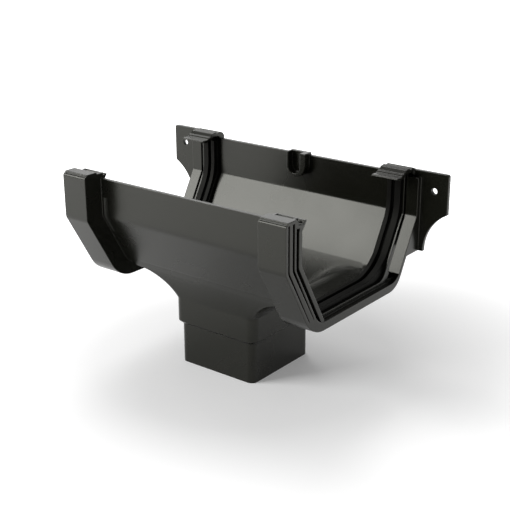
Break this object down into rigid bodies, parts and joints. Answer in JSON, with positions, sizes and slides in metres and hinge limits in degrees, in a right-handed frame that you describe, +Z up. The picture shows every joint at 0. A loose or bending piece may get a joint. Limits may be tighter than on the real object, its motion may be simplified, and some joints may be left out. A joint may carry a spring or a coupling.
{
  "type": "gutter running outlet",
  "caption": "Running outlet for a square line rain gutter: open channel between two clip-on sockets, hopper with a square spigot below, and screw ears at the back.",
  "frame": {"origin": "centre of the outlet spigot's lower end", "axes": "+X along the gutter, +Y towards the wall, +Z up out of the spigot"},
  "size_m": [0.228, 0.1387, 0.1347],
  "materials": {
    "moulding": "glossy dark moulded plastic",
    "seal": "satin"
  },
  "bodies": {
    "root": {"outlet_body": "moulding", "left_seal": "seal", "right_seal": "seal"}
  },
  "joints": []
}
